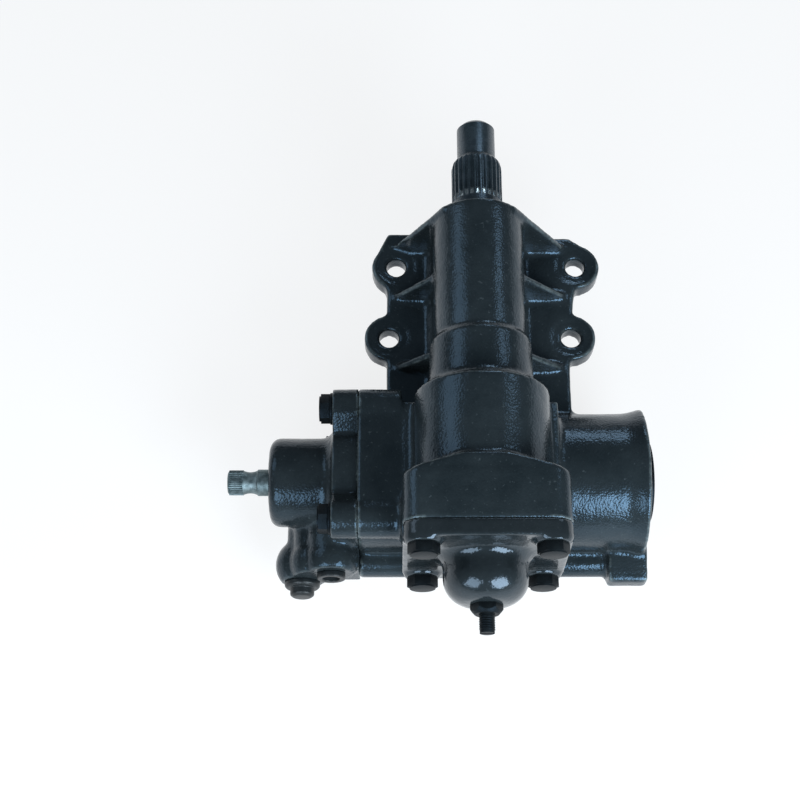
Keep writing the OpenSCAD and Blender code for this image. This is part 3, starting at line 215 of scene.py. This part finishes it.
def turnedSteel(name, look):
    mat, tree, place = newMaterial(name)
    film = addNode(tree, "ShaderNodeTexNoise", {
        "Scale": grainScale(look["film"]), "Detail": 6.0}, {"Vector": place})
    tone = addNode(tree, "ShaderNodeMapRange", {"From Min": 0.35, "From Max": 0.68}, {"Value": film})
    steel = addNode(tree, "ShaderNodeMixRGB", {
        "Color1": linearColour(look["dark"]), "Color2": linearColour(look["pale"])}, {"Fac": tone})
    rough = addNode(tree, "ShaderNodeMapRange", {
        "To Min": look["gloss"][0], "To Max": look["gloss"][1]}, {"Value": film})
    turned = addNode(tree, "ShaderNodeMapping", {"Scale": look["stretch"]}, {"Vector": place})
    marks = addNode(tree, "ShaderNodeTexNoise", {
        "Scale": grainScale(toolMarks), "Detail": 2.0}, {"Vector": turned})
    bump = addNode(tree, "ShaderNodeBump", {"Strength": 0.15, "Distance": 0.0002}, {"Height": marks})
    shader = addNode(tree, "ShaderNodeBsdfPrincipled", {"Metallic": 1.0},
                     {"Base Color": steel, "Roughness": rough, "Normal": bump})
    addNode(tree, "ShaderNodeOutputMaterial", None, {"Surface": shader})
    return mat


# moulded nitrile rubber or plastic: matt, with a faint mould grain, drawn coarser than the real 0.1 mm
polymerPattern = {"cloud": 4, "grain": 0.6}  # millimetres


def mouldedPolymer(name, look):
    mat, tree, place = newMaterial(name)
    cloud = addNode(tree, "ShaderNodeTexNoise", {
        "Scale": grainScale(polymerPattern["cloud"]), "Detail": 4.0}, {"Vector": place})
    tone = addNode(tree, "ShaderNodeMapRange", {"From Min": 0.3, "From Max": 0.7}, {"Value": cloud})
    body = addNode(tree, "ShaderNodeMixRGB", {
        "Color1": linearColour(look["dark"]), "Color2": linearColour(look["pale"])}, {"Fac": tone})
    rough = addNode(tree, "ShaderNodeMapRange", {
        "To Min": look["gloss"][0], "To Max": look["gloss"][1]}, {"Value": cloud})
    grain = addNode(tree, "ShaderNodeTexNoise", {
        "Scale": grainScale(polymerPattern["grain"]), "Detail": 2.0}, {"Vector": place})
    bump = addNode(tree, "ShaderNodeBump", {"Strength": 0.2, "Distance": 0.0002}, {"Height": grain})
    shader = addNode(tree, "ShaderNodeBsdfPrincipled", {
        "IOR": 1.5, "Metallic": 0.0, "Specular IOR Level": 0.4},
        {"Base Color": body, "Roughness": rough, "Normal": bump})
    addNode(tree, "ShaderNodeOutputMaterial", None, {"Surface": shader})
    return mat


# each cast finish's edge colour is the paler tone of its convex edges: rubbed-thin paint together with a
# painted highlight
finishes = {
    "castHousing": enamelOnCastIron("enamelOnGearHousing", {
        "dark": "#1d2325", "pale": "#2e3436", "dust": "#4b5254", "edge": "#7d8786", "bend": (0.522, 0.57),
        "gloss": (0.14, 0.26), "shine": 0.46, "coat": 0.0, "grain": 1.5, "sand": 0.3, "lumps": 0.1}),
    "castValve": enamelOnCastIron("enamelOnValveHousing", {
        "dark": "#1e2325", "pale": "#2d3335", "dust": "#464d4f", "edge": "#6c7675", "bend": (0.525, 0.58),
        "gloss": (0.12, 0.24), "shine": 0.32, "coat": 0.0, "grain": 1.7, "sand": 0.32, "lumps": 0.16}),
    "castCover": enamelOnCastIron("enamelOnSideCover", {
        "dark": "#1b2022", "pale": "#272c2e", "dust": "#363c3e", "edge": "#4c5655", "bend": (0.53, 0.6),
        "gloss": (0.12, 0.2), "shine": 0.28, "coat": 0.4, "grain": 1.7, "sand": 0.16, "lumps": 0.16}),
    "paintedBolt": enamelOnSteel("enamelOnBoltSteel", {
        "dark": "#0e1011", "pale": "#181b1c", "gloss": (0.36, 0.52), "shine": 0.12}),
    "paintedShaft": enamelOnSpline("enamelOnShaftSteel", {
        "dark": "#273034", "pale": "#394146", "gloss": (0.2, 0.34), "shine": 0.5, "steel": "#a9b3b5",
        "bare": (0.0536, 0.0602), "tooth": 0.0171}),
    "inputSteel": turnedSteel("tarnishedShaftSteel", {
        "dark": "#5f6d70", "pale": "#8a989b", "gloss": (0.46, 0.6),
        "stretch": (1.0, 0.12, 0.12), "film": 3.0}),
    "innerSteel": turnedSteel("machinedAlloySteel", {
        "dark": "#7b7f81", "pale": "#a3a7a9", "gloss": (0.25, 0.42),
        "stretch": (1.0, 0.15, 0.15), "film": 7.0}),
    "bearingSteel": turnedSteel("groundBearingSteel", {
        "dark": "#a3a7aa", "pale": "#c2c5c7", "gloss": (0.14, 0.26),
        "stretch": (0.3, 1.0, 0.3), "film": 7.0}),
    "sealRubber": mouldedPolymer("nitrileRubber", {
        "dark": "#101112", "pale": "#1a1c1d", "gloss": (0.5, 0.68)}),
    "sealPlastic": mouldedPolymer("filledSealPlastic", {
        "dark": "#7a5a36", "pale": "#94714a", "gloss": (0.42, 0.55)}),
    "portPlastic": mouldedPolymer("mouldedPlugPlastic", {
        "dark": "#111517", "pale": "#1c2123", "gloss": (0.34, 0.48)}),
}
print("finishes made,", len(finishes))

# finish of every node
nodeFinish = {
    "paintedBolt": ["side_cover_bolts", "adjuster_screw", "adjuster_lock_nut", "valve_housing_bolts",
                    "valve_bolt_washers", "cylinder_end_plug", "gallery_plug"],
    "paintedShaft": ["sector_shaft"],
    "inputSteel": ["input_shaft"],
    "innerSteel": ["end_plug_snap_ring", "bearing_adjusting_plug", "adjuster_thrust_washer", "rack_piston",
                   "ball_return_guide", "guide_clamp", "guide_clamp_screws", "worm_shaft", "valve_sleeve",
                   "torsion_bar", "torsion_bar_worm_pin", "torsion_bar_input_pin"],
    "bearingSteel": ["sector_outer_bearing_cup", "sector_outer_needles", "sector_inner_bearing_cup",
                     "sector_inner_needles", "cover_bearing_cup", "cover_needles", "input_bearing_cup",
                     "input_needles", "worm_bearing_outer_race", "worm_bearing_balls",
                     "worm_bearing_inner_race", "recirculating_balls"],
    "sealRubber": ["side_cover_o_ring", "valve_housing_o_ring", "end_plug_o_ring", "sector_oil_seal",
                   "sector_dust_seal", "input_oil_seal", "input_dust_seal", "piston_expander_ring"],
    "sealPlastic": ["piston_seal_ring", "valve_seal_rings"],
    "portPlastic": ["pressure_port_plug", "return_port_plug"],
    "castHousing": ["gear_housing"],
    "castValve": ["valve_housing"],
    "castCover": ["side_cover"],
}
for finish, names in nodeFinish.items():
    for name in names:
        nodes[name].data.materials.clear()
        nodes[name].data.materials.append(finishes[finish])


def addPiece(name, mesh, finish, body):
    obj = bpy.data.objects.new(name, mesh)
    bpy.context.scene.collection.objects.link(obj)
    mesh.materials.clear()
    mesh.materials.append(finishes[finish])
    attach(obj, body)
    return obj


def evaluatedMesh(obj):
    tree = bpy.context.evaluated_depsgraph_get()
    return bpy.data.meshes.new_from_object(obj.evaluated_get(tree), depsgraph=tree)


def mergedCopy(node):
    bm = bmesh.new()
    bm.from_mesh(nodes[node].data)
    bmesh.ops.remove_doubles(bm, verts=bm.verts, dist=1e-6)
    return bm


def spotsOf(mesh):
    spots = np.empty(len(mesh.vertices) * 3)
    mesh.vertices.foreach_get("co", spots)
    return spots.reshape(-1, 3)


# for the bores along each axis: that axis, the two across it, and where their common line lies
boreLines = {"x": (0, 1, 2, (wormAxis["y"], wormAxis["z"])),
             "y": (1, 0, 2, (sectorAxis["x"], sectorAxis["z"]))}
# how the skins are worked: distances in metres, counts of passes, and noise per metre
skinWork = {"nearBore": 0.0011, "boreRoom": 0.00035, "nearSeat": 0.0005, "heldSeat": 0.0022,
            "openRounds": 2, "fillPasses": 6, "lumps": 75, "grit": 230, "gritShare": 0.4}


# keeps the machined bores of a casting clear of what runs in them, and its joint faces flat
def machine(mesh, bores, seats):
    spots = spotsOf(mesh)
    for bore in bores:
        along, a, b, centre = boreLines[bore["axis"]]
        off = spots[:, [a, b]] - np.array(centre)
        dist = np.linalg.norm(off, axis=1)
        near = (np.abs(dist - bore["radius"]) < skinWork["nearBore"]) \
            & (spots[:, along] > bore["span"][0]) & (spots[:, along] < bore["span"][1])
        spots[np.ix_(near, [a, b])] = np.array(centre) \
            + off[near] / dist[near, None] * (bore["radius"] + skinWork["boreRoom"])
    for axis, level in seats:
        near = np.abs(spots[:, axis] - level) < skinWork["nearSeat"]
        spots[near, axis] = level
    mesh.vertices.foreach_set("co", spots.ravel())


def relax(bm, verts):
    bmesh.ops.smooth_vert(bm, verts=verts, factor=0.5, use_axis_x=True, use_axis_y=True, use_axis_z=True)


# how far a point lies in a hollow, as a share of the mesh spacing around it
def hollowness(v):
    ring = [e.other_vert(v).co for e in v.link_edges]
    lift = sum(ring, Vector()) / len(ring) - v.co
    return lift.dot(v.normal) / max((ring[0] - v.co).length, 1e-6)


# brings the tube round the sector shaft and its flat cheeks out to their true face, fading into the fillets
def trueUp(v, tube):
    if tube["span"][0] < v.co.y < tube["span"][1]:
        out = Vector((v.co.x - sectorAxis["x"], 0, max(v.co.z - sectorAxis["z"], 0)))
        short = tube["radius"] - out.length
        if -tube["fade"] < short < tube["dent"]:
            v.co += out.normalized() * short * min((tube["fade"] + short) / tube["fade"], 1)


# a round blend where a turned boss on the sector axis grows out of a flange, rooted a little way into both
def addBlend(bm, blend):
    boss, flange, radius, bite = blend["boss"], blend["flange"], blend["radius"], blend["bite"]
    turns = [math.radians(a) for a in range(0, 91, 10)]
    profile = [(boss + radius * (1 - math.sin(t)), flange - radius * (1 - math.cos(t))) for t in turns]
    profile += [(boss - bite, profile[-1][1]), (boss - bite, flange + bite), (profile[0][0], flange + bite)]
    verts = [bm.verts.new((sectorAxis["x"] + r, y, sectorAxis["z"])) for r, y in profile]
    edges = [bm.edges.new((verts[i], verts[(i + 1) % len(verts)])) for i in range(len(verts))]
    bmesh.ops.spin(bm, geom=verts + edges, cent=(sectorAxis["x"], 0, sectorAxis["z"]), axis=(0, 1, 0),
                   angle=math.tau, steps=blend["steps"], use_merge=True)
    bmesh.ops.recalc_face_normals(bm, faces=bm.faces)


# a casting's skin: the CAD shape remeshed fine, relaxed so that every edge gets its cast round, filled in its
# inner corners as castings are, and swelled unevenly by a fraction of a millimetre
def castSkin(name, spec):
    bm = mergedCopy(spec["node"])
    for blend in spec.get("blends", []):
        addBlend(bm, blend)
    mesh = bpy.data.meshes.new(name)
    bm.to_mesh(mesh)
    bm.free()
    obj = addPiece(name, mesh, spec["finish"], "housing")
    remesh = obj.modifiers.new("skin", "REMESH")
    remesh.mode = "VOXEL"
    remesh.voxel_size = spec["voxel"]
    obj.data = evaluatedMesh(obj)
    obj.modifiers.clear()
    spots = spotsOf(obj.data)
    held = np.zeros(len(spots), bool)
    for axis, level in spec["seats"]:
        held |= np.abs(spots[:, axis] - level) < skinWork["heldSeat"]
    bm = bmesh.new()
    bm.from_mesh(obj.data)
    loose = [v for v, keep in zip(bm.verts, held) if not keep]
    for i in range(spec["relax"]):
        relax(bm, bm.verts if i < skinWork["openRounds"] else loose)
    for fillet in spec["fillets"]:
        nearby = [v for v in loose if fillet["span"][0] < v.co.y < fillet["span"][1]
                  and math.hypot(v.co.x - sectorAxis["x"], v.co.z - sectorAxis["z"]) < fillet["within"]]
        for i in range(fillet["rounds"]):
            bm.normal_update()
            hollow = [v for v in nearby if hollowness(v) > spec["voxel"] / (4 * fillet["radius"])]
            for j in range(skinWork["fillPasses"]):
                relax(bm, hollow)
    for tube in spec.get("tubes", []):
        for v in loose:
            trueUp(v, tube)
    bm.normal_update()
    for v in loose:
        lumps = spec["swell"] * noise.noise(v.co * skinWork["lumps"])
        grit = skinWork["gritShare"] * spec["swell"] * noise.noise(v.co * skinWork["grit"])
        v.co += v.normal * (lumps + grit)
    bm.to_mesh(obj.data)
    bm.free()
    machine(obj.data, spec["bores"], spec["seats"])
    count = sum(len(p.vertices) - 2 for p in obj.data.polygons)
    if count > spec["triangles"]:
        thin = obj.modifiers.new("thin", "DECIMATE")
        thin.ratio = spec["triangles"] / count
        obj.data = evaluatedMesh(obj)
        obj.modifiers.clear()
    obj.data.shade_smooth()
    obj.data.materials.clear()
    obj.data.materials.append(finishes[spec["finish"]])
    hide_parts(spec["node"])
    print(name, "triangles before thinning", count)


gearHousing = {
    "node": "gear_housing", "finish": "castHousing",
    "voxel": 0.0014, "relax": 5, "triangles": 195000, "swell": 0.0002,
    "fillets": [{"radius": 0.006, "rounds": 8, "span": (-0.19, 0.05), "within": 0.2}],
    "tubes": [{"radius": 0.0305, "span": (-0.0495, 0.0395), "fade": 0.0005, "dent": 0.0025}],
    "seats": [(0, -0.081), (1, -0.187), (2, 0.0)],
    "bores": [
        {"axis": "x", "radius": 0.038, "span": (-0.079, 0.104)},
        {"axis": "y", "radius": 0.02152, "span": (-0.104, 0.0325)},
        {"axis": "y", "radius": 0.02352, "span": (0.033, 0.0435)},
    ]}
valveHousing = {
    "node": "valve_housing", "finish": "castValve",
    "voxel": 0.0011, "relax": 5, "triangles": 130000, "swell": 0.0002,
    "fillets": [{"radius": 0.006, "rounds": 7, "span": (-0.24, 0.0), "within": 0.2}],
    "seats": [(0, -0.081), (1, -0.188)],
    "bores": [
        {"axis": "x", "radius": 0.024, "span": (-0.119, -0.098)},
        {"axis": "x", "radius": 0.028, "span": (-0.096, -0.072)},
        {"axis": "x", "radius": 0.014, "span": (-0.141, -0.132)},
        {"axis": "x", "radius": 0.0125, "span": (-0.131, -0.1205)},
    ]}
sideCover = {
    "node": "side_cover", "finish": "castCover",
    "voxel": 0.001, "relax": 5, "triangles": 120000, "swell": 0.00012,
    "blends": [{"boss": 0.027, "flange": -0.1975, "radius": 0.0075, "bite": 0.003, "steps": 96}],
    "fillets": [{"radius": 0.003, "rounds": 2, "span": (-0.222, -0.19), "within": 0.06}],
    "seats": [(1, -0.187)],
    "bores": [
        {"axis": "y", "radius": 0.02152, "span": (-0.206, -0.166)},
        {"axis": "y", "radius": 0.00472, "span": (-0.228, -0.207)},
    ]}
castSkin("gearHousingSkin", gearHousing)
castSkin("valveHousingSkin", valveHousing)
castSkin("sideCoverSkin", sideCover)
print("castings made")

# pieces of hardware that keep their CAD shape but get their small broken edges
hardware = {
    "coverBolts": {"node": "side_cover_bolts", "edge": 0.0005, "segments": 2},
    "valveBolts": {"node": "valve_housing_bolts", "edge": 0.0005, "segments": 2},
    "valveBoltWashers": {"node": "valve_bolt_washers", "edge": 0.0003, "segments": 2},
    "lockNut": {"node": "adjuster_lock_nut", "edge": 0.0009, "segments": 3},
    "adjusterScrew": {"node": "adjuster_screw", "edge": 0.0004, "segments": 2},
    "endPlug": {"node": "cylinder_end_plug", "edge": 0.001, "segments": 3},
    "pressurePlug": {"node": "pressure_port_plug", "edge": 0.0007, "segments": 3},
    "returnPlug": {"node": "return_port_plug", "edge": 0.0008, "segments": 3},
    "splinedShaft": {"node": "sector_shaft", "edge": 0.00022, "segments": 2, "from": 0.045, "body": "sector"},
}
edgeAngles = {"flat": 0.4, "broken": 28, "crease": 38}  # degrees


def softCopy(name, spec):
    finish = next(f for f, names in nodeFinish.items() if spec["node"] in names)
    bm = mergedCopy(spec["node"])
    bmesh.ops.dissolve_limit(bm, angle_limit=math.radians(edgeAngles["flat"]), verts=bm.verts, edges=bm.edges)
    sharp = [e for e in bm.edges if len(e.link_faces) == 2
             and e.calc_face_angle() > math.radians(edgeAngles["broken"])
             and min(v.co.y for v in e.verts) > spec.get("from", -1.0)]
    bmesh.ops.bevel(bm, geom=sharp, offset=spec["edge"], offset_type="OFFSET", segments=spec["segments"],
                    profile=0.5, affect="EDGES", clamp_overlap=True, material=-1)
    for f in bm.faces:
        f.smooth = True
    for e in bm.edges:
        e.smooth = len(e.link_faces) != 2 or e.calc_face_angle() < math.radians(edgeAngles["crease"])
    bmesh.ops.triangulate(bm, faces=[f for f in bm.faces if len(f.verts) > 4])
    mesh = bpy.data.meshes.new(name)
    bm.to_mesh(mesh)
    bm.free()
    obj = addPiece(name, mesh, finish, spec.get("body", "housing"))
    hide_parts(spec["node"])


for name, spec in hardware.items():
    softCopy(name, spec)
print("hardware made,", len(hardware))

# rolled thread on the outer end of the adjuster screw
adjusterThread = {"start": -0.2346, "turns": 6, "pitch": 0.0015, "half": 0.0006,
                  "root": 0.00455, "crest": 0.00508, "steps": 24}
bm = bmesh.new()
corners = [(adjusterThread["root"], -adjusterThread["half"]), (adjusterThread["crest"], 0.0),
           (adjusterThread["root"], adjusterThread["half"])]
ring = [bm.verts.new((r, adjusterThread["start"] + y, sectorAxis["z"])) for r, y in corners]
loop = [bm.edges.new((ring[i], ring[(i + 1) % 3])) for i in range(3)]
bmesh.ops.spin(bm, geom=ring + loop, cent=(0, 0, sectorAxis["z"]), axis=(0, 1, 0),
               dvec=(0, -adjusterThread["pitch"] / adjusterThread["steps"], 0),
               angle=math.tau * adjusterThread["turns"],
               steps=adjusterThread["steps"] * adjusterThread["turns"])
bmesh.ops.holes_fill(bm, edges=[e for e in bm.edges if e.is_boundary], sides=4)
bmesh.ops.recalc_face_normals(bm, faces=bm.faces)
for f in bm.faces:
    f.smooth = True
threadMesh = bpy.data.meshes.new("adjusterThread")
bm.to_mesh(threadMesh)
bm.free()
addPiece("adjusterThread", threadMesh, "paintedBolt", "housing")
print("thread made")

# camera solved from the photograph: its place in metres, its angles in degrees
shot = {"place": (-0.05186, -0.47306, 0.96505), "down": 67.26, "turn": 0.22, "roll": -0.30,
        "focalPixels": 1517.8, "framePixels": 800, "sensor": 36.0, "clip": (0.01, 60)}
camera = bpy.data.objects.new("camera", bpy.data.cameras.new("camera"))
bpy.context.scene.collection.objects.link(camera)
camera.matrix_world = (Matrix.Translation(shot["place"]) @ Matrix.Rotation(math.radians(shot["turn"]), 4, "Z")
                       @ Matrix.Rotation(math.radians(90 - shot["down"]), 4, "X")
                       @ Matrix.Rotation(math.radians(shot["roll"]), 4, "Z"))
camera.data.sensor_fit = "HORIZONTAL"
camera.data.sensor_width = shot["sensor"]
camera.data.lens = shot["focalPixels"] / shot["framePixels"] * shot["sensor"]
camera.data.clip_start, camera.data.clip_end = shot["clip"]
bpy.context.scene.camera = camera

# pale paper floor under the lowest boss: lit by the lamps, so that it takes the shadow, and raised to white
# for the camera and in reflections
paperFloor = {"half": 25.0, "drop": 0.001, "paper": "#868686", "glow": 0.79}
bm = bmesh.new()
bmesh.ops.create_grid(bm, x_segments=1, y_segments=1, size=paperFloor["half"])
bmesh.ops.translate(bm, verts=bm.verts, vec=(0, 0, cadBox[0][2] - paperFloor["drop"]))
floorMesh = bpy.data.meshes.new("paperFloor")
bm.to_mesh(floorMesh)
bm.free()
floor = bpy.data.objects.new("paperFloor", floorMesh)
bpy.context.scene.collection.objects.link(floor)
floorMat = bpy.data.materials.new("paperSweep")
floorMat.use_nodes = True
tree = floorMat.node_tree
tree.nodes.clear()
path = addNode(tree, "ShaderNodeLightPath")
mirrored = addNode(tree, "ShaderNodeMath", {"operation": "MAXIMUM"},
                   {0: path.outputs["Is Glossy Ray"], 1: path.outputs["Is Transmission Ray"]})
seen = addNode(tree, "ShaderNodeMath", {"operation": "MAXIMUM"},
               {0: path.outputs["Is Camera Ray"], 1: mirrored})
glow = addNode(tree, "ShaderNodeMath", {"operation": "MULTIPLY", 1: paperFloor["glow"]}, {0: seen})
paper = addNode(tree, "ShaderNodeBsdfDiffuse", {"Color": linearColour(paperFloor["paper"])})
white = addNode(tree, "ShaderNodeEmission", None, {"Strength": glow})
both = addNode(tree, "ShaderNodeAddShader", None, {0: paper, 1: white})
addNode(tree, "ShaderNodeOutputMaterial", None, {"Surface": both})
floor.data.materials.append(floorMat)

studioSky = {"colour": "#cdd8e2", "strength": 0.2}
world = bpy.data.worlds.new("studio")
bpy.context.scene.world = world
world.use_nodes = True
tree = world.node_tree
tree.nodes.clear()
sky = addNode(tree, "ShaderNodeBackground", {
    "Color": linearColour(studioSky["colour"]), "Strength": studioSky["strength"]})
addNode(tree, "ShaderNodeOutputWorld", None, {"Surface": sky})

# soft boxes aimed at the box, with their bearing from the front and their height in degrees: the front pair
# gives the cool bands along the cylinder and the twin highlights on the dome, the ones behind give the streaks
# along the tube
lamps = {
    "frontRight": {"bearing": 32, "height": 28, "away": 0.78,
        "size": (0.48, 0.46), "radiance": 14.5, "tint": "#dcebf7"},
    "frontLeft": {"bearing": -33, "height": 28, "away": 0.78,
        "size": (0.44, 0.42), "radiance": 7.5, "tint": "#dcebf7"},
    "rightBehind": {"bearing": 128, "height": 36, "away": 1.1,
        "size": (0.18, 0.26), "radiance": 4.0, "tint": "#dfecf7"},
    "leftBehind": {"bearing": -119, "height": 32, "away": 1.1,
        "size": (0.6, 0.5), "radiance": 1.9, "tint": "#dfecf7"},
    "rear": {"bearing": 167, "height": 24, "away": 1.2,
        "size": (0.34, 0.3), "radiance": 5.6, "tint": "#dcebf7"},
}
lampTarget = Vector((0.0, -0.127, 0.03))
for name, lamp in lamps.items():
    light = bpy.data.lights.new(name, "AREA")
    light.shape = "RECTANGLE"
    light.size, light.size_y = lamp["size"]
    light.energy = lamp["radiance"] * math.pi * light.size * light.size_y
    light.color = linearColour(lamp["tint"])[:3]
    rig = bpy.data.objects.new(name, light)
    bpy.context.scene.collection.objects.link(rig)
    bearing, height = math.radians(lamp["bearing"]), math.radians(lamp["height"])
    outward = Vector((math.sin(bearing) * math.cos(height), -math.cos(bearing) * math.cos(height),
                      math.sin(height)))
    rig.matrix_world = Matrix.Translation(lampTarget + outward * lamp["away"]) \
        @ outward.to_track_quat("Z", "Y").to_matrix().to_4x4()
print("studio set")

bpy.context.scene.view_settings.view_transform = "Standard"
bpy.context.view_layer.update()
